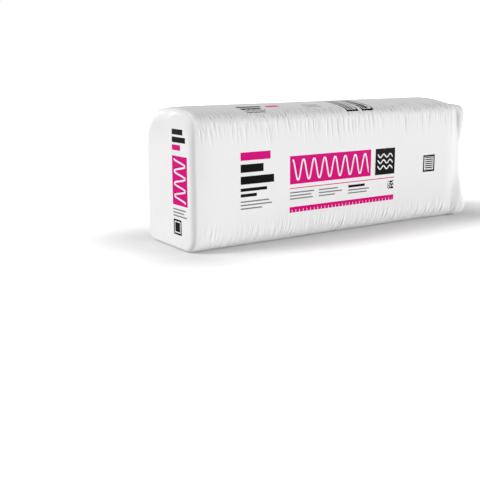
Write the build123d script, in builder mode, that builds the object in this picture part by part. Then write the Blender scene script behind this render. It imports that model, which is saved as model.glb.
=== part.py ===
"""A film bag of compressed fiberglass batts, lying on its narrow long side.

+X runs along the bundle towards the sealed end, +Z is up. Millimetres.
The origin is at the middle of the footprint, on the floor.
"""
from build123d import *
from math import asin, degrees
import os

# The bundle as the film holds it
bag_width = 376.0          # over the film, at the foot and the shoulders
bag_height = 520.0         # floor to the crest of the top
side_length = 1353.0       # closed end to where the sealed end starts to turn
top_crown = 30.0           # how far the crest stands above the shoulders
side_bulge = 3.0           # how far a long side swells at mid height
top_corner_radius = 46.0
bottom_corner_radius = 62.0

# Closed end, drawn in by the film: gently at first, then more steeply
gentle_length = 62.0
gentle_depth = 5.0
steep_length = 48.0
steep_depth = 11.0
closed_edge_radius = 26.0

# Sealed end
sealed_edge_radius = 42.0
fin_thickness = 4.0        # the film layers pressed together
fin_width = 40.0
fin_root = 0.6             # how far the seal is let into the film
fin_corner_radius = 9.0
fin_top_drop = 62.0        # crest down to the top of the fin
fin_foot_lift = 46.0       # floor up to the foot of the fin

# Film and batts
film_gauge = 1.2
seat_gap = 0.3             # film to batts
batt_count = 12            # each folded once
batt_folded_length = 1338.0
batt_gap = 0.5             # one folded batt to the next
leaf_gap = 0.6             # slit between the two leaves of a folded batt
fold_thickness = 18.0      # closed end of the slit to the outside of the fold
fold_depth = 20.0          # where a fold starts to slope back from its neighbour
fold_rise = 11.0

bag_length = side_length + sealed_edge_radius + fin_width
closed_end_x = -bag_length / 2
sealed_end_x = closed_end_x + side_length + sealed_edge_radius

seat = film_gauge + seat_gap
fold_x = closed_end_x + seat
free_end_x = fold_x + batt_folded_length
batt_pitch = (bag_height - 2 * seat + batt_gap) / batt_count
reach = bag_width / 2 + side_bulge     # half width that a parting cut has to cross


def bundle_form(inset, soften=fillet):
    """The whole bundle as one closed form, drawn in by the inset, its closed end's edges softened."""
    half = bag_width / 2 - inset
    low = inset
    high = bag_height - top_crown - inset
    middle = (low + high) / 2
    with BuildPart() as form:
        # Cross-section: flat foot, swelling sides and a crowned top
        with BuildSketch(Plane.YZ.offset(closed_end_x + inset)) as section:
            with BuildLine():
                Line((-half, low), (half, low))
                ThreePointArc((half, low), (half + side_bulge, middle), (half, high))
                ThreePointArc((half, high), (0, bag_height - inset), (-half, high))
                ThreePointArc((-half, high), (-half - side_bulge, middle), (-half, low))
            make_face()
            fillet(section.vertices().group_by(Axis.Y)[0], bottom_corner_radius - inset)
            fillet(section.vertices().group_by(Axis.Y)[-1], top_corner_radius - inset)
        extrude(amount=sealed_end_x - closed_end_x - 2 * inset)

        for length, depth in ((gentle_length + steep_length, gentle_depth), (steep_length, steep_depth)):
            closed_end = form.faces().sort_by(Axis.X)[0]
            chamfer(closed_end.edges(), depth, length, reference=closed_end)
        soften(form.faces().sort_by(Axis.X)[0].edges(), closed_edge_radius - inset)
        fillet(form.faces().sort_by(Axis.X)[-1].edges(), sealed_edge_radius - inset)
    return form.part


def crowned_cut(profile, crest, share):
    """Sweeps an upright profile across the bundle, along the crown that the batts have at this height."""
    crown = top_crown * share
    radius = (reach**2 + crown**2) / (2 * crown)
    with BuildPart() as cut:
        add(profile)
        revolve(axis=Axis((0, 0, crest - radius), (1, 0, 0)), revolution_arc=degrees(asin(reach / radius)))
        mirror(about=Plane.XZ)
    return cut.part


def batt_parting(crest):
    """Profile of the gap between two folded batts, with its mouth flared by their sloping folds."""
    upper = crest + batt_gap / 2
    lower = crest - batt_gap / 2
    with BuildSketch(Plane.XZ) as profile:
        with BuildLine():
            Polyline(
                (fold_x, upper + fold_rise),
                (fold_x + fold_depth, upper),
                (free_end_x, upper),
                (free_end_x, lower),
                (fold_x + fold_depth, lower),
                (fold_x, lower - fold_rise),
                close=True,
            )
        make_face()
    return profile.sketch


def leaf_parting(crest):
    """Profile of the slit between the two leaves of one folded batt, open at the free ends."""
    slit_x = fold_x + fold_thickness
    with BuildSketch(Plane.XZ) as profile:
        with Locations((slit_x, crest)):
            Rectangle(free_end_x - slit_x, leaf_gap, align=(Align.MIN, Align.CENTER))
    return profile.sketch


# Film bag: welded film around the batts, with the fin seal standing out of the sealed end
with BuildPart() as film_bag:
    add(bundle_form(0))
    add(bundle_form(film_gauge), mode=Mode.SUBTRACT)
    with BuildSketch(Plane.XZ) as fin:
        with Locations((sealed_end_x - fin_root, fin_foot_lift)):
            Rectangle(
                fin_root + fin_width,
                bag_height - fin_top_drop - fin_foot_lift,
                align=(Align.MIN, Align.MIN),
            )
        fillet(fin.vertices().group_by(Axis.X)[-1], fin_corner_radius)
    extrude(amount=fin_thickness / 2, both=True)
film_bag.part.label = "film_bag"

# Folded batts: one stack that fills the bag's form, parted into batts and each batt into its two leaves
with BuildPart() as folded_batts:
    add(bundle_form(seat, soften=chamfer))
    with BuildSketch(Plane.YZ.offset(free_end_x)):
        Rectangle(2 * bag_width, 2 * bag_height)
    extrude(amount=bag_length, dir=(1, 0, 0), mode=Mode.SUBTRACT)
    for batt in range(batt_count):
        foot = seat + batt * batt_pitch
        if batt > 0:
            gap_crest = foot - batt_gap / 2
            add(crowned_cut(batt_parting(gap_crest), gap_crest, batt / batt_count), mode=Mode.SUBTRACT)
        leaf_crest = foot + (batt_pitch - batt_gap) / 2
        add(crowned_cut(leaf_parting(leaf_crest), leaf_crest, (batt + 0.5) / batt_count), mode=Mode.SUBTRACT)
folded_batts.part.label = "folded_batts"

os.makedirs("parts", exist_ok=True)
for piece in (film_bag.part, folded_batts.part):
    export_step(piece, f"parts/{piece.label}.step")
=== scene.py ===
"""A printed film bag of folded fiberglass batts, welded shut at its right end.

Metres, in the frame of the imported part: +X runs towards the sealed end, +Z is up.
"""
import math

import bpy
import numpy as np
from mathutils import Matrix, Vector


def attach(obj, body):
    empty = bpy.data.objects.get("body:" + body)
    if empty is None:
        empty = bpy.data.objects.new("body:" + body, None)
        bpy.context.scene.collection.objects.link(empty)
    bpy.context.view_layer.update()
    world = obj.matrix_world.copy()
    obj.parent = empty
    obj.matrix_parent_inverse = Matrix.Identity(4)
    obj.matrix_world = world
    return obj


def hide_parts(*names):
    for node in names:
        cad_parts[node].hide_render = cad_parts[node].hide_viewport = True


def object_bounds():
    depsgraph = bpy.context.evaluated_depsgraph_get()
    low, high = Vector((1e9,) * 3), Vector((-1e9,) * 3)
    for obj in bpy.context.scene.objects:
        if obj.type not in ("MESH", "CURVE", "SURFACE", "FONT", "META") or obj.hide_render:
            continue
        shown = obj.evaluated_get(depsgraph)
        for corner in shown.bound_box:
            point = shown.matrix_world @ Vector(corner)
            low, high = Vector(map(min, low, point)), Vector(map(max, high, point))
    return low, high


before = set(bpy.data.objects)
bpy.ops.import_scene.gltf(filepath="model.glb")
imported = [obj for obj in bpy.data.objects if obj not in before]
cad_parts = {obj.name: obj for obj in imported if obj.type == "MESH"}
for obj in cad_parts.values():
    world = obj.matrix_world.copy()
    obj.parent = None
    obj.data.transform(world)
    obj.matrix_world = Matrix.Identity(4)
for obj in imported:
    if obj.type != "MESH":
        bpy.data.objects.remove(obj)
cad_low, cad_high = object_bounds()

# The bag's form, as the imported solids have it
BAG_WIDTH = 0.376
BAG_HEIGHT = 0.520
TOP_CROWN = 0.030
SIDE_BULGE = 0.003
TOP_CORNER = 0.046
FOOT_CORNER = 0.062
FIN_WIDTH = 0.040
FIN_TOP = BAG_HEIGHT - 0.062
FIN_FOOT = 0.046
CLOSED_X = cad_low.x
SEALED_X = cad_high.x - FIN_WIDTH

# Closed end: the film draws the bundle in, with broad upper corners
DRAW_LENGTH = 0.120
DRAW_SIDE = 0.010
DRAW_TOP = 0.004
CLOSED_FOOT_CORNER = 0.060
CLOSED_CORNER = 0.112
CLOSED_SWELL = 0.003

# The closed end's edge is rounded most at the crest, less at the back, and least at the front and the foot.
# The ranges are where across the bag, and at which heights, the rounding changes
CLOSED_EDGE = 0.044
CLOSED_BACK_EDGE = 0.037
CLOSED_FRONT_EDGE = 0.017
CLOSED_FOOT_EDGE = 0.016
FRONT_TO_BACK = (-0.165, -0.010)
BACK_TO_CREST = (0.400, 0.500)
FOOT_TO_SIDE = (0.010, 0.110)

# Sealed end: how far out its rim stands, and the rim's rounding, from the foot up the side to the crest.
# The upper and lower front corners stand out as ears, and the film between them is pulled in. A point that
# is nearer than ON_MIDDLE to the bag's middle plane belongs to both sides of the seam
RIM_HEIGHT = (0.000, 0.020, 0.050, 0.120, 0.250, 0.370, 0.452, 0.475, 0.492, 0.508, 0.520)
RIM_REACH = (0.000, 0.025, 0.024, 0.007, -0.001, -0.004, -0.008, -0.008, -0.014, -0.026, -0.040)
RIM_EDGE = (0.036, 0.030, 0.030, 0.040, 0.040, 0.040, 0.034, 0.035, 0.040, 0.052, 0.064)
RIM_INSET = 0.020
SEAM_OUT = 0.006
SEAM_X = SEALED_X + SEAM_OUT
SEAM_GAP = 0.002
ON_MIDDLE = 1e-6

# Tucks from the rim in to the seam. Each kind has a seed, how often it comes round the end and on the way
# in, and its share of the depth. They grow from the rim, and end a little before the seam. The smaller the
# power, the sooner the film on its way in stands where the seam does along the bag
TUCKS = ((31, 5.5, 0.8, 1.0), (33, 8.5, 1.3, 0.45))
TUCK_DEPTH = 0.007
TUCK_LEVEL = 0.3
TUCKS_GROWN = 0.35
TUCKS_END = 0.8
END_POWER = 0.8

# The foot's corners get squarer over this length before the sealed end's rounding
END_FOOT_CORNER = 0.046
SQUARE_END = 0.040
SQUARE_LENGTH = 0.220

# Folds of the film, in families. line and root say where a fold begins, and length between which two lengths
# it runs from there, up (+) or down (-). lean is how far it goes towards the sealed end for each metre up,
# along most of the bag and near that end. step is how far apart the folds stand. A negative height is a
# groove. growth is how much higher they get along the bag, and how much more near the sealed end
SHOULDER_HATCH = dict(
    line="shoulder", root=0.058, length=(-0.080, -0.055), lean=(-0.12, -0.12),
    step=0.0090, width=0.0027, height=0.0014, growth=(0.0, -0.60),
)
UPPER_FOLDS = dict(
    line="shoulder", root=-0.004, length=(-0.125, -0.034), lean=(-0.10, -0.10),
    step=0.0118, width=0.0025, height=-0.0021, growth=(-0.18, 0.36),
)
LOWER_FOLDS = dict(
    line="foot", root=0.004, length=(0.030, 0.105), lean=(0.24, 0.42),
    step=0.0100, width=0.0029, height=0.0017, growth=(0.15, 0.70),
)
FOOT_HATCH = dict(
    line="foot", root=-0.030, length=(0.045, 0.080), lean=(0.30, 0.42),
    step=0.0088, width=0.0026, height=0.0008, growth=(0.15, 0.0),
)
FAMILIES = (SHOULDER_HATCH, UPPER_FOLDS, LOWER_FOLDS, FOOT_HATCH)
FIRST_FOLD = CLOSED_X + 0.020
LAST_FOLD = SEALED_X - 0.018
ALONG_BAG = (-0.40, 0.50)
NEAR_SEALED = (0.34, 0.48)

# Folds get wider and stand farther apart by these shares, along the bag and near its sealed end
BROADENING = (0.35, 0.20)

# How much the folds of a family differ from each other
STEP_RANGE = (0.70, 1.30)
WIDTH_RANGE = (0.75, 1.35)
HEIGHT_RANGE = (0.45, 1.20)
LENGTH_SPREAD = 0.3
LONG_AND_SHORT = 0.045
ROOT_SPREAD = 0.022
LEAN_SPREAD = 0.09
FOLD_BOW = 0.006

# The shape of one fold: in full height between these shares of its length, narrower from its root to its
# tip, and steeper on the side of the closed end. Past its reach nothing of it is left
FOLD_FULL = (0.22, 0.45)
FOLD_ROOT = 1.1
FOLD_TAPER = 0.4
STEEP_SIDE = 0.75
GENTLE_SIDE = 1.6
FOLD_REACH = 0.050

# The mesh's rings lean as the folds do, over these spans below and above the foot's corner and the shoulder,
# and lean in full between these shares of the bag's length
FOOT_LEAN = 0.30
FOOT_SPAN = (-0.06, 0.10)
SHOULDER_LEAN = -0.10
SHOULDER_SPAN = (-0.13, 0.06)
RINGS_LEAN = (0.06, 0.90)

# Folds and a slow unevenness grow in over these steps from the closed end, and fade out over these from the
# sealed end. The unevenness has a depth, and a length along the bag and round it
FOLDS_BEGIN = (0.006, 0.030)
UNEVEN_BEGINS = (0.012, 0.060)
RELIEF_ENDS = (0.012, -0.020)
UNEVEN_DEPTH = 0.0007
UNEVEN_LENGTH = 0.16
UNEVEN_RISE = 0.12

# A valley runs up the side just before the sealed end. At mid height the film falls off towards it slowly,
# and beside the corners it rises again from the valley as ears. Above the crisp heights it rises at once,
# and below them softly. The valley fades out between these rings, counted from the rim
VALLEY_HEIGHT = (0.000, 0.060, 0.130, 0.200, 0.330, 0.380, 0.450, 0.485, 0.505, 0.520)
VALLEY_X = (0.594, 0.594, 0.606, 0.640, 0.642, 0.624, 0.609, 0.607, 0.606, 0.606)
VALLEY_DEPTH = (0.001, 0.002, 0.004, 0.010, 0.011, 0.006, 0.0025, 0.004, 0.011, 0.012)
VALLEY_NEAR = (0.020, 0.020, 0.030, 0.044, 0.045, 0.028, 0.010, 0.012, 0.016, 0.016)
EAR_RISE = (0.007, 0.008, 0.007, 0.003, 0.003, 0.008, 0.011, 0.009, 0.005, 0.004)
EAR_LENGTH = 0.058
EAR_CRISP = (0.25, 0.40)
VALLEY_RINGS = (2, -6)

# Fin seal: it begins a little inside the seam and has rounded corners and an unevenly cut free edge. From
# one share of its width on it wavers, in slow waves with quick ones on them
FIN_THICKNESS = 0.0012
FIN_ROOT = 0.012
FIN_CORNER = 0.009
FIN_CUT = 0.0012
FIN_CUT_LENGTH = 0.018
FIN_FREE = 0.25
SLOW_WAVE = 0.0050
SLOW_WAVE_LENGTH = 0.055
QUICK_WAVE = 0.0016
QUICK_WAVE_LENGTH = 0.016

# The fin's weld: a stripe at this share of the fin's width, pressed thin and finely crimped
WELD_PLACE = 0.52
WELD_WIDTH = 0.13
WELD_EDGE = 0.4
WELD_PRESSED = 0.9
CRIMP_HEIGHT = 0.00028
CRIMP_LENGTH = 0.0048

# The batts stay this far inside the film, and farther from just before the valley on
BATT_INSET = 0.006
BATT_END_INSET = 0.010
BATT_END = (0.520, 0.590)
MOST_INSET = 0.95 * CLOSED_EDGE

# Mesh density
FOOT_STEPS = 6
CORNER_STEPS = 8
SIDE_STEPS = 30
CROWN_STEPS = 10
BODY_STEP = 0.0020
CAP_RINGS = 16
EDGE_RINGS = 12
SEAM_RINGS = 24
FIN_ROWS = 260
FIN_COLUMNS = 22

# Seeds, and how far off in the noise the back half of the bag takes its unevenness
FRONT_FOLDS_SEED = 100
BACK_FOLDS_SEED = 200
UNEVEN_SEED = 41
FIN_CUT_SEED = 51
SLOW_WAVE_SEED = 52
QUICK_WAVE_SEED = 53
BACK_OFFSET = 400.0


def smooth(low, high, value):
    """0 below low, 1 above high, with a smooth ramp between. It also falls, where high is under low."""
    t = np.clip((np.asarray(value, float) - low) / (high - low), 0.0, 1.0)
    return t * t * (3.0 - 2.0 * t)


def value_noise(seed, *places):
    """Smooth noise from -1 to 1 on a grid of unit cells, in as many dimensions as there are places.

    The large whole numbers only scramble the seed and a corner's place into that corner's own value.
    """
    places = np.broadcast_arrays(*places)
    cells = [np.floor(p).astype(int) for p in places]
    parts = [smooth(0, 1, p - c) for p, c in zip(places, cells)]
    total = 0.0
    for corner in np.ndindex(*(2,) * len(places)):
        key = np.full(places[0].shape, seed * 7919 + 17, dtype=np.int64)
        weight = 1.0
        for cell, part, step in zip(cells, parts, corner):
            key = (key * 1103515245 + (cell + step) * 12345 + 6789) % 2147483647
            weight = weight * (part if step else 1 - part)
        key = (key * 48271) % 2147483647
        total = total + weight * (key / 1073741823.5 - 1)
    return total


# The bag's cross-section

def half_section(inset, draw_side=0.0, draw_top=0.0, corner=TOP_CORNER, foot_corner=FOOT_CORNER):
    """Points (y, z) of the section's +Y half, from the middle of the foot round to the crest."""
    half = BAG_WIDTH / 2 - draw_side - inset
    foot = inset
    crest = BAG_HEIGHT - draw_top
    crown_radius = ((BAG_WIDTH / 2) ** 2 + TOP_CROWN**2) / (2 * TOP_CROWN)
    crown_centre = crest - crown_radius
    crown_radius -= inset
    foot_radius = foot_corner - inset
    top_radius = corner - inset
    rise = math.sqrt((crown_radius - top_radius) ** 2 - (half - top_radius) ** 2)
    turn = math.atan2(rise, half - top_radius)
    shoulder = crown_centre + rise

    points = []
    for i in range(FOOT_STEPS):
        points.append(((half - foot_radius) * i / FOOT_STEPS, foot))
    for i in range(CORNER_STEPS):
        angle = math.pi / 2 * i / CORNER_STEPS
        points.append((
            half - foot_radius + foot_radius * math.sin(angle),
            foot + foot_radius * (1 - math.cos(angle)),
        ))
    for i in range(SIDE_STEPS):
        t = i / SIDE_STEPS
        z = foot + foot_radius + (shoulder - foot - foot_radius) * t
        points.append((half + SIDE_BULGE * 4 * t * (1 - t), z))
    for i in range(CORNER_STEPS):
        angle = turn * i / CORNER_STEPS
        points.append((
            half - top_radius + top_radius * math.cos(angle),
            shoulder + top_radius * math.sin(angle),
        ))
    for i in range(CROWN_STEPS + 1):
        angle = turn + (math.pi / 2 - turn) * i / CROWN_STEPS
        points.append((crown_radius * math.cos(angle), crown_centre + crown_radius * math.sin(angle)))
    return np.array(points)


def section(inset, *form):
    """The whole section as a closed loop, from the middle of the foot by +Y, the crest and -Y."""
    right = half_section(inset, *form)
    left = right[-2:0:-1] * (-1, 1)
    return np.vstack([right, left])


def ring(x, loop):
    """A section's loop set upright at x, which may differ from point to point."""
    return np.column_stack([np.broadcast_to(x, len(loop)), loop])


def hoop_places():
    """How far up round the bag each point of a loop is, and where the foot's corner and shoulder are."""
    half = half_section(0.0)
    runs = np.concatenate([[0.0], np.cumsum(np.hypot(*np.diff(half, axis=0).T))])
    around = np.concatenate([runs, runs[-2:0:-1]])
    foot = runs[FOOT_STEPS + CORNER_STEPS // 2]
    shoulder = runs[FOOT_STEPS + CORNER_STEPS + SIDE_STEPS + CORNER_STEPS // 2]
    return around, {"foot": foot, "shoulder": shoulder}


# The film's rings of points

def closed_section(reach, inset=0.0):
    """The section at this distance from the closed end."""
    draw = max(0.0, 1 - reach / DRAW_LENGTH) ** 2
    corner = TOP_CORNER + (CLOSED_CORNER - TOP_CORNER) * draw
    foot_corner = FOOT_CORNER + (CLOSED_FOOT_CORNER - FOOT_CORNER) * draw
    return section(inset, DRAW_SIDE * draw, DRAW_TOP * draw, corner, foot_corner)


def inward(loop, inner, inset):
    """For each point of a loop, the way to the same point of a loop that is drawn in by the inset."""
    return (inner - loop) / inset


def swell(loop):
    """How far the closed end's face stands out at each point of a loop."""
    across, up = loop[:, 0] / (BAG_WIDTH / 2), loop[:, 1] / (BAG_HEIGHT / 2) - 1
    return CLOSED_SWELL * ((1 - across**2) * (1 - up**2)) ** 2


def closed_rings():
    """The rings from the middle of the closed end round its edge, and where along the bag the edge ends."""
    rings = []
    across, height = section(0.0).T
    back_edge = CLOSED_BACK_EDGE + (CLOSED_EDGE - CLOSED_BACK_EDGE) * smooth(*BACK_TO_CREST, height)
    edge = CLOSED_FRONT_EDGE + (back_edge - CLOSED_FRONT_EDGE) * smooth(*FRONT_TO_BACK, across)
    edge = CLOSED_FOOT_EDGE + (edge - CLOSED_FOOT_EDGE) * smooth(*FOOT_TO_SIDE, height)
    for i in range(EDGE_RINGS):
        angle = math.pi / 2 * i / EDGE_RINGS
        reach = CLOSED_EDGE * (1 - math.cos(angle))
        loop = closed_section(reach)
        way = inward(loop, closed_section(reach, CLOSED_EDGE), CLOSED_EDGE)
        rings.append(ring(
            CLOSED_X + edge * (1 - math.cos(angle)),
            loop + way * (edge * (1 - math.sin(angle)))[:, None],
        ))
    centre = np.array((0.0, BAG_HEIGHT / 2))
    rim = rings[0][:, 1:]
    cap = []
    for i in range(1, CAP_RINGS):
        out = i / CAP_RINGS
        loop = centre + (rim - centre) * out
        cap.append(ring(CLOSED_X - swell(loop) + swell(rim) * out**2, loop))
    return cap + rings, CLOSED_X + edge


def sealed_rings():
    """The rings round the sealed end's rim and in to the seam's two sides, and where the rim begins."""
    form = (0.0, 0.0, TOP_CORNER, END_FOOT_CORNER)
    loop = section(0.0, *form)
    height = loop[:, 1]
    reach = SEALED_X + np.interp(height, RIM_HEIGHT, RIM_REACH)
    edge = np.interp(height, RIM_HEIGHT, RIM_EDGE)
    way = inward(loop, section(RIM_INSET, *form), RIM_INSET)
    seam = np.column_stack([
        np.sign(loop[:, 0]) * SEAM_GAP * (np.abs(loop[:, 0]) > ON_MIDDLE),
        FIN_FOOT + (FIN_TOP - FIN_FOOT) * height / BAG_HEIGHT,
    ])
    rings = []
    for i in range(EDGE_RINGS + 1):
        angle = math.pi / 2 * i / EDGE_RINGS
        rings.append(ring(
            reach - edge * (1 - math.sin(angle)),
            loop + way * (edge * (1 - math.cos(angle)))[:, None],
        ))
    rim = rings[-1]
    around = np.arctan2(rim[:, 2] - BAG_HEIGHT / 2, rim[:, 1])
    for i in range(1, SEAM_RINGS + 1):
        t = i / SEAM_RINGS
        tucks = sum(
            share * (np.abs(value_noise(seed, around * often, t * inwards)) - TUCK_LEVEL)
            for seed, often, inwards, share in TUCKS
        )
        x = rim[:, 0] + (SEAM_X - rim[:, 0]) * float(smooth(0, 1, t)) ** END_POWER
        x = x + TUCK_DEPTH * tucks * smooth(0.0, TUCKS_GROWN, t) * smooth(1.0, TUCKS_END, t)
        rings.append(ring(x, rim[:, 1:] + (seam - rim[:, 1:]) * t))
    return rings, reach - edge


def ring_lean():
    """How far each point of a ring is moved along the bag, so that the ring leans as the folds do."""
    around, lines = hoop_places()
    spans = (("foot", FOOT_LEAN, FOOT_SPAN), ("shoulder", SHOULDER_LEAN, SHOULDER_SPAN))
    places = [lines[line] + step for line, _, span in spans for step in span]
    steps = [lean * step for _, lean, span in spans for step in span]
    return np.interp(around, places, steps)


def film_rings():
    """The bag's rings of points, from the middle of the closed end to the seam of the sealed end.

    They lean with the folds, because a fold that crosses them would come out blurred.
    """
    rings, start = closed_rings()
    last_rings, end = sealed_rings()
    lean = ring_lean()
    length = SEALED_X - CLOSED_X - SQUARE_END
    steps = round((length - CLOSED_EDGE) / BODY_STEP)
    for i in range(steps):
        t = i / steps
        reach = CLOSED_EDGE + (length - CLOSED_EDGE) * t
        squareness = float(smooth(SQUARE_LENGTH, 0.0, length - reach))
        foot_corner = FOOT_CORNER + (END_FOOT_CORNER - FOOT_CORNER) * squareness
        square = section(0.0, 0.0, 0.0, TOP_CORNER, foot_corner)
        loop = closed_section(reach) if reach < DRAW_LENGTH else square
        fade = float(smooth(0.0, RINGS_LEAN[0], t) * smooth(1.0, RINGS_LEAN[1], t))
        rings.append(ring(start + (end - start) * t + lean * fade, loop))
    return np.array(rings + last_rings)


# The film's relief

def normals(rings):
    """The direction straight out of the film at each point of the rings."""
    along = np.gradient(rings, axis=0)
    around = (np.roll(rings, -1, axis=1) - np.roll(rings, 1, axis=1)) / 2
    out = np.cross(around, along)
    return out / np.maximum(np.linalg.norm(out, axis=2, keepdims=True), 1e-12)


def add_folds(relief, x, around, lines, seed, line, root, length, lean, step, width, height, growth):
    """Adds a family of folds to the relief of one half of the bag, each a narrow ridge or groove."""
    rng = np.random.default_rng(seed)
    place = FIRST_FOLD + step * rng.random()
    while place < LAST_FOLD:
        onward = float(smooth(*ALONG_BAG, place))
        last = float(smooth(*NEAR_SEALED, place))
        start = lines[line] + root + ROOT_SPREAD * rng.uniform(-1, 1)
        share = 0.5 + 0.5 * float(value_noise(seed, place / LONG_AND_SHORT))
        share = np.clip(share + rng.uniform(-LENGTH_SPREAD, LENGTH_SPREAD), 0, 1)
        run = length[0] + (length[1] - length[0]) * share
        end = start + run
        slope = lean[0] + (lean[1] - lean[0]) * last + LEAN_SPREAD * rng.normal()
        broad = 1 + BROADENING[0] * onward + BROADENING[1] * last
        wide = broad * width * rng.uniform(*WIDTH_RANGE)
        high = (1 + growth[0] * onward + growth[1] * last) * height * rng.uniform(*HEIGHT_RANGE)
        bow = FOLD_BOW * rng.uniform(-1, 1)

        rows = np.abs(x - place).min(axis=1) < FOLD_REACH
        along = (around - start) / (end - start)
        fade = smooth(0.0, FOLD_FULL[0], along) * smooth(1.0, FOLD_FULL[1], along)
        centre = place + slope * (around - start) + bow * along * (1 - along) * 4
        off = (x[rows] - centre) / (wide * (FOLD_ROOT - FOLD_TAPER * np.clip(along, 0, 1)))
        ridge = np.exp(-((off / np.where(off < 0, STEEP_SIDE, GENTLE_SIDE)) ** 2))
        relief[rows] += high * fade * ridge
        place += step * broad * rng.uniform(*STEP_RANGE)


def valley(x, height):
    """How far the film stands out before the sealed end: a valley, and past it the rise of the ears."""
    off = x - np.interp(height, VALLEY_HEIGHT, VALLEY_X)
    depth = np.interp(height, VALLEY_HEIGHT, VALLEY_DEPTH)
    near = -depth * np.exp(-((off / np.interp(height, VALLEY_HEIGHT, VALLEY_NEAR)) ** 2))
    past = np.clip(off / EAR_LENGTH, 0.0, 1.0)
    soft = smooth(0.0, 1.0, past)
    crisp = past * (2 - past)
    rise = soft + (crisp - soft) * smooth(*EAR_CRISP, height)
    far = -depth + np.interp(height, VALLEY_HEIGHT, EAR_RISE) * rise
    return np.where(off < 0, near, far)


def with_relief(rings):
    """The rings with the film's folds, a slow unevenness and the valley before the sealed end."""
    around, lines = hoop_places()
    x = rings[:, :, 0]
    relief = np.zeros(x.shape)
    half = len(around) // 2
    front, back = slice(half, None), slice(0, half)
    for first_seed, columns in ((FRONT_FOLDS_SEED, front), (BACK_FOLDS_SEED, back)):
        for seed, family in enumerate(FAMILIES, first_seed):
            add_folds(relief[:, columns], x[:, columns], around[columns], lines, seed, **family)

    to_sealed = smooth(SEALED_X + RELIEF_ENDS[0], SEALED_X + RELIEF_ENDS[1], x)
    relief *= smooth(CLOSED_X + FOLDS_BEGIN[0], CLOSED_X + FOLDS_BEGIN[1], x) * to_sealed
    from_closed = smooth(CLOSED_X + UNEVEN_BEGINS[0], CLOSED_X + UNEVEN_BEGINS[1], x)
    side = np.where(np.arange(len(around)) < half, BACK_OFFSET, 0.0)
    uneven = value_noise(UNEVEN_SEED, x / UNEVEN_LENGTH + side, around / UNEVEN_RISE)
    relief += UNEVEN_DEPTH * uneven * from_closed * to_sealed

    row = np.arange(len(rings))[:, None]
    rim_row = len(rings) - 1 - SEAM_RINGS
    before_rim = smooth(rim_row + VALLEY_RINGS[0], rim_row + VALLEY_RINGS[1], row)
    relief += valley(x, rings[:, :, 2]) * before_rim
    rings = rings + normals(rings) * relief[:, :, None]
    rings[:, :, 2] = np.maximum(rings[:, :, 2], 0.0)
    return rings


# Meshes

def add_mesh(name, points, faces):
    """A smooth-shaded piece from points and faces."""
    mesh = bpy.data.meshes.new(name)
    mesh.from_pydata([tuple(p) for p in points], [], faces)
    mesh.polygons.foreach_set("use_smooth", [True] * len(mesh.polygons))
    mesh.update()
    piece = bpy.data.objects.new(name, mesh)
    bpy.context.scene.collection.objects.link(piece)
    return piece


def closed_mesh(name, rings):
    """A closed mesh over a stack of rings: a fan at the first one, and the last one sewn side to side."""
    count, around = rings.shape[:2]
    points = [*rings.reshape(-1, 3), rings[0].mean(axis=0)]
    faces = []
    for r in range(count - 1):
        this, following = r * around, (r + 1) * around
        for k in range(around):
            k2 = (k + 1) % around
            faces.append((this + k, following + k, following + k2, this + k2))
    for k in range(around):
        faces.append((k, (k + 1) % around, len(points) - 1))
    last = (count - 1) * around
    for k in range(around // 2):
        across = [last + k, last + (around - k) % around, last + around - k - 1, last + k + 1]
        faces.append(tuple(dict.fromkeys(across)))
    return add_mesh(name, points, faces)


def fin_width(up, z):
    """The fin's width at a share of its height, less what its corners and its uneven cut take away."""
    near_end = min(up, 1 - up) * (FIN_TOP - FIN_FOOT)
    corner = FIN_CORNER - math.sqrt(max(0.0, FIN_CORNER**2 - max(0.0, FIN_CORNER - near_end) ** 2))
    cut = FIN_CUT * (1 + float(value_noise(FIN_CUT_SEED, z / FIN_CUT_LENGTH)))
    return FIN_WIDTH + FIN_ROOT - SEAM_OUT - corner - cut


def fin_points(side):
    """One face of the fin, in rows from its foot up: crimped across its weld, with a wavering free edge."""
    points = []
    for i in range(FIN_ROWS + 1):
        up = i / FIN_ROWS
        z = FIN_FOOT + (FIN_TOP - FIN_FOOT) * up
        width = fin_width(up, z)
        wave = SLOW_WAVE * float(value_noise(SLOW_WAVE_SEED, z / SLOW_WAVE_LENGTH))
        wave += QUICK_WAVE * float(value_noise(QUICK_WAVE_SEED, z / QUICK_WAVE_LENGTH))
        crimp = CRIMP_HEIGHT * math.sin(2 * math.pi * z / CRIMP_LENGTH)
        for j in range(FIN_COLUMNS + 1):
            out = j / FIN_COLUMNS
            free = float(smooth(FIN_FREE, 1.0, out))
            weld = math.exp(-(((out - WELD_PLACE) / WELD_WIDTH) ** 2))
            half = FIN_THICKNESS / 2 * (WELD_PRESSED if weld > WELD_EDGE else 1.0)
            points.append((SEAM_X - FIN_ROOT + width * out, wave * free + crimp * weld + side * half, z))
    return points


def fin_mesh():
    """The welded fin: a thin band of film on edge, closed all round."""
    rows, columns = FIN_ROWS + 1, FIN_COLUMNS + 1
    sheet = rows * columns
    faces = []
    for i in range(FIN_ROWS):
        for j in range(FIN_COLUMNS):
            a, b = i * columns + j, i * columns + j + 1
            c, d = b + columns, a + columns
            faces.append((a, d, c, b))
            faces.append((a + sheet, b + sheet, c + sheet, d + sheet))
    border = list(range(columns))
    border += [i * columns + FIN_COLUMNS for i in range(1, rows)]
    border += [FIN_ROWS * columns + j for j in range(FIN_COLUMNS - 1, -1, -1)]
    border += [i * columns for i in range(FIN_ROWS - 1, 0, -1)]
    for a, b in zip(border, border[1:] + border[:1]):
        faces.append((a, b, b + sheet, a + sheet))
    return add_mesh("fin_seal", fin_points(1) + fin_points(-1), faces)


def rounding(radius, turned):
    """How far an edge of this radius has come in, this far past where its rounding begins."""
    turned = max(0.0, turned)
    return radius - math.sqrt(radius**2 - turned**2)


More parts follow.
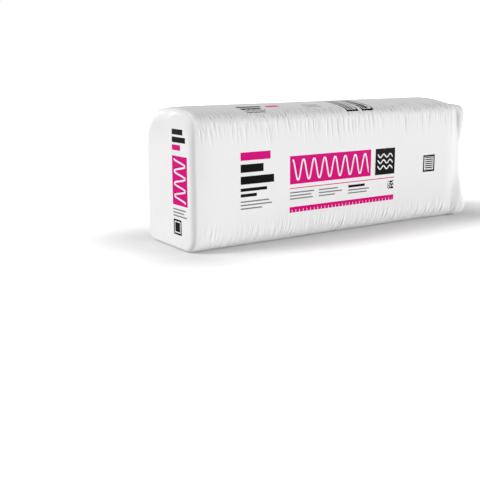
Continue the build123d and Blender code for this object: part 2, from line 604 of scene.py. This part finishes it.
def batt_room(x, direction, centre):
    """How far from the bag's middle line the batts may reach in a direction, at x."""
    reach = max(0.0, x - CLOSED_X)
    inset = BATT_INSET + BATT_END_INSET * float(smooth(*BATT_END, x))
    inset += rounding(CLOSED_EDGE, CLOSED_EDGE - reach)
    inset += rounding(RIM_EDGE[-1], RIM_EDGE[-1] - (SEALED_X + RIM_REACH[-1] - x))
    outline = closed_section(reach, min(inset, MOST_INSET)) - centre
    angles = np.arctan2(outline[:, 1], outline[:, 0])
    order = np.argsort(angles)
    sizes = np.hypot(*outline.T)
    return np.interp(direction, angles[order], sizes[order], period=2 * math.pi)


def batts_mesh():
    """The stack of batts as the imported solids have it, pressed in wherever it would reach the film."""
    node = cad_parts["folded_batts"]
    mesh = node.data.copy()
    centre = np.array((0.0, BAG_HEIGHT / 2))
    for vertex in mesh.vertices:
        place = node.matrix_world @ vertex.co
        offset = np.array((place.y, place.z)) - centre
        room = batt_room(place.x, math.atan2(offset[1], offset[0]), centre)
        size = math.hypot(*offset)
        if size > room:
            y, z = offset * room / size + centre
            vertex.co = node.matrix_world.inverted() @ Vector((place.x, y, z))
    piece = bpy.data.objects.new("batts", mesh)
    piece.matrix_world = node.matrix_world
    bpy.context.scene.collection.objects.link(piece)
    return piece


# Materials

class Field:
    """A number that a material works out at each point, for formulas written with ordinary signs."""

    def __init__(self, tree, socket):
        self.tree = tree
        self.socket = socket

    def math(self, operation, *others):
        node = self.tree.nodes.new("ShaderNodeMath")
        node.operation = operation
        for place, value in zip(node.inputs, (self, *others)):
            if isinstance(value, Field):
                self.tree.links.new(value.socket, place)
            else:
                place.default_value = value
        return Field(self.tree, node.outputs[0])

    def __add__(self, other):
        return self.math("ADD", other)

    def __sub__(self, other):
        return self.math("SUBTRACT", other)

    def __mul__(self, other):
        return self.math("MULTIPLY", other)

    def __truediv__(self, other):
        return self.math("DIVIDE", other)

    def __lt__(self, other):
        return self.math("LESS_THAN", other)

    def __gt__(self, other):
        return self.math("GREATER_THAN", other)

    def either(self, other):
        return self.math("MAXIMUM", other)

    def without(self, other):
        return self * (other * -1.0 + 1.0)

    def between(self, low, high):
        return (self > low) * (self < high)

    def ramp(self, low, high):
        node = self.tree.nodes.new("ShaderNodeMapRange")
        node.interpolation_type = "SMOOTHSTEP"
        self.tree.links.new(self.socket, node.inputs["Value"])
        node.inputs["From Min"].default_value = low
        node.inputs["From Max"].default_value = high
        return Field(self.tree, node.outputs[0])


def new_material(name, roughness, specular):
    """A material with its tree, its shader and the object's coordinates as three fields."""
    material = bpy.data.materials.new(name)
    material.use_nodes = True
    tree = material.node_tree
    shader = tree.nodes["Principled BSDF"]
    shader.inputs["Roughness"].default_value = roughness
    shader.inputs["Specular IOR Level"].default_value = specular
    places = tree.nodes.new("ShaderNodeTexCoord")
    split = tree.nodes.new("ShaderNodeSeparateXYZ")
    tree.links.new(places.outputs["Object"], split.inputs[0])
    axes = [Field(tree, split.outputs[i]) for i in range(3)]
    return material, tree, shader, axes


def joined(tree, *fields):
    """A vector of three fields or numbers."""
    node = tree.nodes.new("ShaderNodeCombineXYZ")
    for place, field in zip(node.inputs, fields):
        if isinstance(field, Field):
            tree.links.new(field.socket, place)
        else:
            place.default_value = field
    return node.outputs[0]


def noise(tree, axes, cells, detail, roughness=0.5):
    """Cloudy noise from 0 to 1, with a number of cells a metre, or a number along each axis."""
    stretched = isinstance(cells, tuple)
    if stretched:
        axes = [axis * count for axis, count in zip(axes, cells)]
    node = tree.nodes.new("ShaderNodeTexNoise")
    tree.links.new(joined(tree, *axes), node.inputs["Vector"])
    node.inputs["Scale"].default_value = 1.0 if stretched else cells
    node.inputs["Detail"].default_value = detail
    node.inputs["Roughness"].default_value = roughness
    return Field(tree, node.outputs["Fac"])


def scatter(tree, vector):
    """A different number from 0 to 1 for each whole-numbered vector."""
    node = tree.nodes.new("ShaderNodeTexWhiteNoise")
    tree.links.new(vector, node.inputs["Vector"])
    return Field(tree, node.outputs["Value"])


def mixed(tree, amount, below, above):
    """One colour over another where the amount is 1. Each is a colour or a socket that gives one."""
    node = tree.nodes.new("ShaderNodeMix")
    node.data_type = "RGBA"
    tree.links.new(amount.socket, node.inputs[0])
    for place, colour in ((node.inputs[6], below), (node.inputs[7], above)):
        if isinstance(colour, tuple):
            place.default_value = (*colour, 1)
        else:
            tree.links.new(colour, place)
    return node.outputs[2]


def bumped(tree, shader, height, distance, strength):
    """Gives a shader fine relief from a height field."""
    node = tree.nodes.new("ShaderNodeBump")
    node.inputs["Distance"].default_value = distance
    node.inputs["Strength"].default_value = strength
    tree.links.new(height.socket, node.inputs["Height"])
    tree.links.new(node.outputs["Normal"], shader.inputs["Normal"])


# The print. Its places and sizes are metres on the face that carries it

class Print:
    """Plain printed motifs on one face of the bag, placed by two of its coordinates."""

    def __init__(self, tree, across, up, face):
        self.tree = tree
        self.across = across
        self.up = up
        self.face = face
        self.inks = {}

    def lay(self, ink, shape):
        shape = shape * self.face
        self.inks[ink] = self.inks[ink].either(shape) if ink in self.inks else shape

    def patch(self, left, right, low, high):
        return self.across.between(left, right) * self.up.between(low, high)

    def frame(self, left, right, low, high, line):
        hole = self.patch(left + line, right - line, low + line, high - line)
        return self.patch(left, right, low, high).without(hole)

    def bars(self, ink, left, top, lengths, thick, step):
        """A ladder of bars of these lengths, from the top down."""
        for i, length in enumerate(lengths):
            high = top - i * step
            self.lay(ink, self.patch(left, left + length, high - thick, high))

    def wave(self, along, over, middle, swing, length, line):
        """The looping wave that drawings use for a soft batt."""
        angle = along * (2 * math.pi / length)
        height = angle.math("SINE") * swing
        slope = angle.math("COSINE") * (swing * 2 * math.pi / length)
        steep = (slope * slope + 1.0).math("SQRT")
        return ((over - middle - height).math("ABSOLUTE") / steep) < line

    def stripes(self, over, step, share):
        """Stripes of uneven weight, for a plain tally block. The two fixed numbers only pick which."""
        row = (over / step).math("FLOOR")
        return scatter(self.tree, joined(self.tree, row, 3.5, 1.5)) > share


def side_print(tree, x, y, z):
    """The long side: a ladder of bars, a magenta panel with the wave, a black square and a tally box."""
    side = Print(tree, x, z, y < -0.150)
    side.bars("magenta", -0.516, 0.358, (0.134,), 0.030, 0.044)
    side.bars("black", -0.516, 0.314, (0.102, 0.150), 0.030, 0.044)
    side.bars("black", -0.516, 0.226, (0.118, 0.072), 0.012, 0.021)
    side.bars("grey", -0.516, 0.178, (0.128, 0.140, 0.096), 0.005, 0.013)

    panel = side.patch(-0.292, 0.118, 0.222, 0.330)
    wave = side.wave(x + 0.292, z, 0.276, 0.037, 0.052, 0.0034)
    wave = wave * side.patch(-0.280, 0.106, 0.225, 0.327)
    side.lay("magenta", panel.without(wave))

    square = side.patch(0.142, 0.250, 0.222, 0.330)
    low, middle, high = [side.wave(x - 0.142, z, at, 0.0065, 0.036, 0.0028) for at in (0.252, 0.276, 0.300)]
    lines = low.either(middle).either(high) * side.patch(0.154, 0.238, 0.222, 0.330)
    side.lay("black", square.without(lines))

    side.bars("magenta", -0.292, 0.208, (0.542,), 0.0035, 0.01)
    side.bars("grey", -0.292, 0.192, (0.118, 0.104, 0.112), 0.005, 0.012)
    side.bars("grey", -0.150, 0.192, (0.096, 0.118, 0.082), 0.005, 0.012)
    side.bars("black", 0.000, 0.194, (0.088,), 0.010, 0.012)
    side.bars("grey", 0.000, 0.176, (0.112, 0.100), 0.005, 0.012)
    cells = joined(tree, (x / 0.0042).math("FLOOR"), (z / 0.0042).math("FLOOR"), 0.5)
    side.lay("black", side.patch(0.2142, 0.2478, 0.1596, 0.1932) * (scatter(tree, cells) > 0.48))

    strip = side.patch(-0.292, 0.250, 0.112, 0.134)
    ticks = (x / 0.018).math("FRACT").between(0.42, 0.54) * (z < 0.123)
    side.lay("magenta", strip.without(ticks * side.patch(-0.284, 0.242, 0.112, 0.134)))

    box = side.frame(0.416, 0.485, 0.214, 0.286, 0.0076)
    tally = (z / 0.0088).math("FRACT").between(0.0, 0.55) * side.patch(0.428, 0.474, 0.223, 0.277)
    side.lay("black", box.either(tally))
    return side


def end_print(tree, x, y, z):
    """The closed end: bars, the magenta panel upright, and a black square, from the back edge on."""
    across = y * -1.0
    end = Print(tree, across, z, x < CLOSED_X + 0.030)
    end.bars("black", 0.046, 0.446, (0.078, 0.096), 0.020, 0.028)
    end.bars("magenta", 0.046, 0.390, (0.060,), 0.020, 0.028)
    panel = end.patch(0.046, 0.152, 0.170, 0.350)
    wave = end.wave(z - 0.170, across, 0.099, 0.036, 0.045, 0.0034)
    wave = wave * end.patch(0.046, 0.152, 0.180, 0.340)
    end.lay("magenta", panel.without(wave))
    end.bars("grey", 0.046, 0.156, (0.092, 0.080, 0.098), 0.005, 0.012)
    square = end.patch(0.046, 0.104, 0.058, 0.116)
    hole = end.frame(0.053, 0.097, 0.065, 0.109, 0.004)
    end.lay("black", square.without(hole))
    return end


def top_print(tree, x, y, z):
    """The top: small bars and two tally boxes that run over the front shoulder."""
    top = Print(tree, x, y, z > 0.470)
    top.bars("black", -0.470, -0.080, (0.110, 0.090), 0.020, 0.030)
    top.bars("grey", -0.470, -0.140, (0.100, 0.084), 0.008, 0.016)
    top.bars("magenta", -0.338, -0.080, (0.058,), 0.026, 0.030)
    top.bars("grey", -0.170, -0.090, (0.080, 0.070, 0.076), 0.006, 0.016)
    for left in (-0.004, 0.076):
        box = top.frame(left, left + 0.062, -0.176, -0.030, 0.007)
        tally = top.stripes(x, 0.0040, 0.38) * top.patch(left + 0.012, left + 0.050, -0.166, -0.040)
        top.lay("black", box.either(tally))
    return top


# Film

# The film's white, its colour where painted shade and a random cloudy tone darken it, and the painted shade
# in its fine pleats' hollows
FILM_WHITE = (0.885, 0.885, 0.885)
FILM_SHADE_AND_TONE = (0.60, 0.60, 0.605)
PLEAT_SHADE = (0.48, 0.48, 0.485)
INKS = {
    "grey": (0.20, 0.20, 0.21),
    "magenta": (0.67, 0.001, 0.202),
    "black": (0.002, 0.002, 0.0022),
}

# Heights between which the film becomes gathered, and heights and places along the bag for its crown, where
# the film is painted in shade
SHOULDER_GATHERS = (0.36, 0.50)
FOOT_GATHERS = (0.17, 0.02)
CROWN_HEIGHTS = (0.455, 0.502)
CROWN_BEGINS = (CLOSED_X + 0.016, CLOSED_X + 0.046)

# How much the film's colour is darkened: painted shade in the creases, on the crown and on the shoulders,
# and a random cloudy tone
CREASE_SHADE = 0.12
CLOUD_DULLS = 0.04
CROWN_SHADE = 0.76
SHOULDER_SHADE = 0.13

# Noise cells a metre, and the stretch of the noise that turns into light and dark
CREASE_CELLS = (150.0, 9.0, 9.0)
CREASE_CONTRAST = (0.38, 0.72)
CLOUD_CELLS = 9.0
CLOUD_CONTRAST = (0.35, 0.75)
GRAIN_CELLS = 420.0
PLEAT_WOBBLE_CELLS = (22.0, 10.0, 10.0)
PLEAT_STRENGTH_CELLS = (70.0, 8.0, 8.0)
PLEAT_EDGE_CELLS = (55.0, 2.0, 0.0)

# Relief of the creases, where gathered and elsewhere, of the film's grain and of the pleats
GATHERED_CREASES = 0.9
PLAIN_CREASES = 0.14
GRAIN = 0.10
PLEAT_SINK = 0.6

# Fine pleats: pleats a metre and how fast that falls, how far they wobble, and the band that they stand in
PLEATS = 68.0
PLEATS_FALL = 12.5
PLEAT_CONTRAST = (0.15, 0.85)
PLEAT_STRENGTH = (0.24, 0.50)
PLEAT_CROWN = (0.0, 0.3)
PLEAT_WOBBLE = 2.1
PLEAT_EDGE = 0.040
PLEAT_FOOT = (0.498, 0.504)
PLEAT_TOP = (0.524, 0.516)
PLEAT_END = (0.620, 0.560)


def shoulder_pleats(tree, axes, crown):
    """Fine pleats over the shoulders, closer together towards the closed end, as sunken relief and as
    painted shade in their hollows.
    """
    x, _, z = axes
    wobble = noise(tree, axes, PLEAT_WOBBLE_CELLS, detail=2.0) * PLEAT_WOBBLE
    turns = x * PLEATS - x * x * PLEATS_FALL + wobble
    strength = noise(tree, axes, PLEAT_STRENGTH_CELLS, detail=1.0).ramp(*PLEAT_STRENGTH)
    ragged = z + noise(tree, axes, PLEAT_EDGE_CELLS, detail=1.0) * PLEAT_EDGE
    zone = ragged.ramp(*PLEAT_FOOT) * ragged.ramp(*PLEAT_TOP) * crown.ramp(*PLEAT_CROWN)
    zone = zone * x.ramp(*PLEAT_END)
    return (turns * (2 * math.pi)).math("SINE").ramp(*PLEAT_CONTRAST) * strength * zone


def film_material():
    """White film with soft sheen, printed in magenta and black, finely creased along its gathers, with
    painted shade over its crown, shoulders, creases and pleats.
    """
    material, tree, shader, axes = new_material("film", roughness=0.36, specular=0.03)
    x, y, z = axes
    printed = {}
    for face in (side_print(tree, x, y, z), end_print(tree, x, y, z), top_print(tree, x, y, z)):
        for ink, shape in face.inks.items():
            printed[ink] = printed[ink].either(shape) if ink in printed else shape

    # Painted shade: the film's colour is darkened in the creases where it is gathered, over the crown and on
    # the shoulders; a faint cloudy tone also varies at random
    clouds = noise(tree, axes, CLOUD_CELLS, detail=3.0)
    creases = noise(tree, axes, CREASE_CELLS, detail=3.0, roughness=0.6)
    shoulder = z.ramp(*SHOULDER_GATHERS)
    gathered = shoulder.either(z.ramp(*FOOT_GATHERS))
    crown = z.ramp(*CROWN_HEIGHTS) * x.ramp(*CROWN_BEGINS)
    shade_and_tone = gathered * creases.ramp(*CREASE_CONTRAST) * CREASE_SHADE
    shade_and_tone = shade_and_tone + clouds.ramp(*CLOUD_CONTRAST) * CLOUD_DULLS
    shade_and_tone = shade_and_tone + crown * CROWN_SHADE + shoulder * SHOULDER_SHADE
    colour = mixed(tree, shade_and_tone, FILM_WHITE, FILM_SHADE_AND_TONE)

    pleats = shoulder_pleats(tree, axes, crown)
    # Painted shade in the hollows of the fine pleats
    colour = mixed(tree, pleats, colour, PLEAT_SHADE)
    for ink, tone in INKS.items():
        colour = mixed(tree, printed[ink], colour, tone)
    tree.links.new(colour, shader.inputs["Base Color"])

    grain = noise(tree, axes, GRAIN_CELLS, detail=2.0) * GRAIN
    height = creases * (gathered * GATHERED_CREASES + PLAIN_CREASES) + grain - pleats * PLEAT_SINK
    bumped(tree, shader, height, distance=0.0014, strength=0.6)
    return material


# Glass wool

WOOL_PINK = (0.80, 0.34, 0.42)
WOOL_PALE = (0.93, 0.56, 0.62)
WOOL_TUFT = (0.95, 0.70, 0.72)
FIBRE_CELLS = (60.0, 60.0, 420.0)
FIBRE_CONTRAST = (0.30, 0.72)
TUFT_CELLS = 38.0
TUFT_CONTRAST = (0.45, 0.80)
TUFT_PALES = 0.4
TUFT_RELIEF = 0.6


def wool_material():
    """Pink glass wool: felted fibres in thin layers."""
    material, tree, shader, axes = new_material("glass_wool", roughness=0.95, specular=0.15)
    fibre = noise(tree, axes, FIBRE_CELLS, detail=4.0, roughness=0.65)
    tuft = noise(tree, axes, TUFT_CELLS, detail=3.0)
    colour = mixed(tree, fibre.ramp(*FIBRE_CONTRAST), WOOL_PINK, WOOL_PALE)
    colour = mixed(tree, tuft.ramp(*TUFT_CONTRAST) * TUFT_PALES, colour, WOOL_TUFT)
    tree.links.new(colour, shader.inputs["Base Color"])
    bumped(tree, shader, fibre + tuft * TUFT_RELIEF, distance=0.0030, strength=0.7)
    return material


# The pieces

film = closed_mesh("film", with_relief(film_rings()))
fin = fin_mesh()
batts = batts_mesh()

printed_film = film_material()
film.data.materials.append(printed_film)
fin.data.materials.append(printed_film)
batts.data.materials.clear()
batts.data.materials.append(wool_material())

PIECES = (
    (film, "film_bag", "film"),
    (fin, "film_bag", "film"),
    (batts, "folded_batts", "glass_wool"),
)
for piece, node, slot in PIECES:
    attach(piece, "root")
    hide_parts(node)


# Floor, backdrop and light

WHITE = (1, 1, 1, 1)
SKY_LIGHT = 0.25
SOFTNESS = 0.40
FLOOR_SIZE = 60
FLOOR_TONE = 0.62
FLOOR_LIFT = 0.58
FLOOR_FAR = (0.9, 5.0)
# Near the bag the floor's seen brightness is lifted less: a painted soft shadow round the bag
CONTACT_LIFT = 0.14
CONTACT_REACH = 0.40
CONTACT_HALVES = (0.68, 0.15)


def seen(tree):
    """1 for rays from the camera, a mirror or glass: a backdrop that they see, and that lights nothing."""
    path = tree.nodes.new("ShaderNodeLightPath")
    names = ("Is Camera Ray", "Is Glossy Ray", "Is Transmission Ray")
    camera_ray, glossy_ray, glass_ray = [Field(tree, path.outputs[name]) for name in names]
    return camera_ray.either(glossy_ray).either(glass_ray)


def distance(across, along):
    """How far off a place is, from its steps along two axes."""
    return (across * across + along * along).math("SQRT")


def floor_material():
    """A pale matt floor that is white far away, with a painted soft shadow round where the bag stands, as
    its seen brightness is lifted less there.
    """
    material, tree, shader, (x, y, _) = new_material("floor", roughness=0.9, specular=0.1)
    shader.inputs["Base Color"].default_value = (FLOOR_TONE, FLOOR_TONE, FLOOR_TONE, 1)
    shader.inputs["Emission Color"].default_value = WHITE
    far = distance(x, y).ramp(*FLOOR_FAR)
    beside = [(axis.math("ABSOLUTE") - half).either(0.0) for axis, half in zip((x, y), CONTACT_HALVES)]
    near = distance(*beside).ramp(0.0, CONTACT_REACH)
    # Painted shadow: the lift is smallest beside the bag
    lift = near * (FLOOR_LIFT - CONTACT_LIFT) + CONTACT_LIFT + far * (1.0 - FLOOR_LIFT)
    tree.links.new((seen(tree) * lift).socket, shader.inputs["Emission Strength"])
    return material


def add_floor():
    """A plain pale floor, which isn't part of the object."""
    bpy.ops.mesh.primitive_plane_add(size=FLOOR_SIZE)
    floor = bpy.context.object
    floor.name = "floor"
    floor.data.materials.append(floor_material())


def add_world():
    """A white backdrop that gives the object only a little even light."""
    world = bpy.data.worlds.new("world")
    bpy.context.scene.world = world
    world.use_nodes = True
    tree = world.node_tree
    sky = tree.nodes["Background"]
    sky.inputs["Color"].default_value = WHITE
    tree.links.new((seen(tree) * (1.0 - SKY_LIGHT) + SKY_LIGHT).socket, sky.inputs["Strength"])


def soft_sun(name, towards, power):
    """A broad, even light from the given direction."""
    data = bpy.data.lights.new(name, "SUN")
    data.angle = SOFTNESS
    data.energy = power
    lamp = bpy.data.objects.new(name, data)
    lamp.location = towards
    lamp.rotation_euler = Vector(towards).to_track_quat("Z", "Y").to_euler()
    bpy.context.scene.collection.objects.link(lamp)


add_floor()
add_world()
soft_sun("light_closed_end", (-0.735, 0.256, 0.628), 2.41)
soft_sun("light_back", (0.0, 0.990, 0.140), 0.70)
soft_sun("light_side", (0.717, -0.690, 0.100), 3.06)


# Camera

CAMERA_PLACE = Vector((-2.1105, -2.6235, 0.6827))
CAMERA_FORWARD = Vector((0.53403, 0.81698, -0.21759))
CAMERA_RIGHT = Vector((0.83637, -0.54814, -0.00538))
CAMERA_LENS = 60.23
CAMERA_SENSOR = 36.0


def add_camera():
    """The camera at the photograph's viewing angle."""
    data = bpy.data.cameras.new("camera")
    data.lens = CAMERA_LENS
    data.sensor_width = CAMERA_SENSOR
    camera = bpy.data.objects.new("camera", data)
    bpy.context.scene.collection.objects.link(camera)
    forward = CAMERA_FORWARD.normalized()
    right = (CAMERA_RIGHT - forward * CAMERA_RIGHT.dot(forward)).normalized()
    up = right.cross(forward)
    turn = Matrix((right, up, -forward)).transposed().to_4x4()
    camera.matrix_world = Matrix.Translation(CAMERA_PLACE) @ turn
    bpy.context.scene.camera = camera


add_camera()
bpy.context.scene.view_settings.view_transform = "Standard"
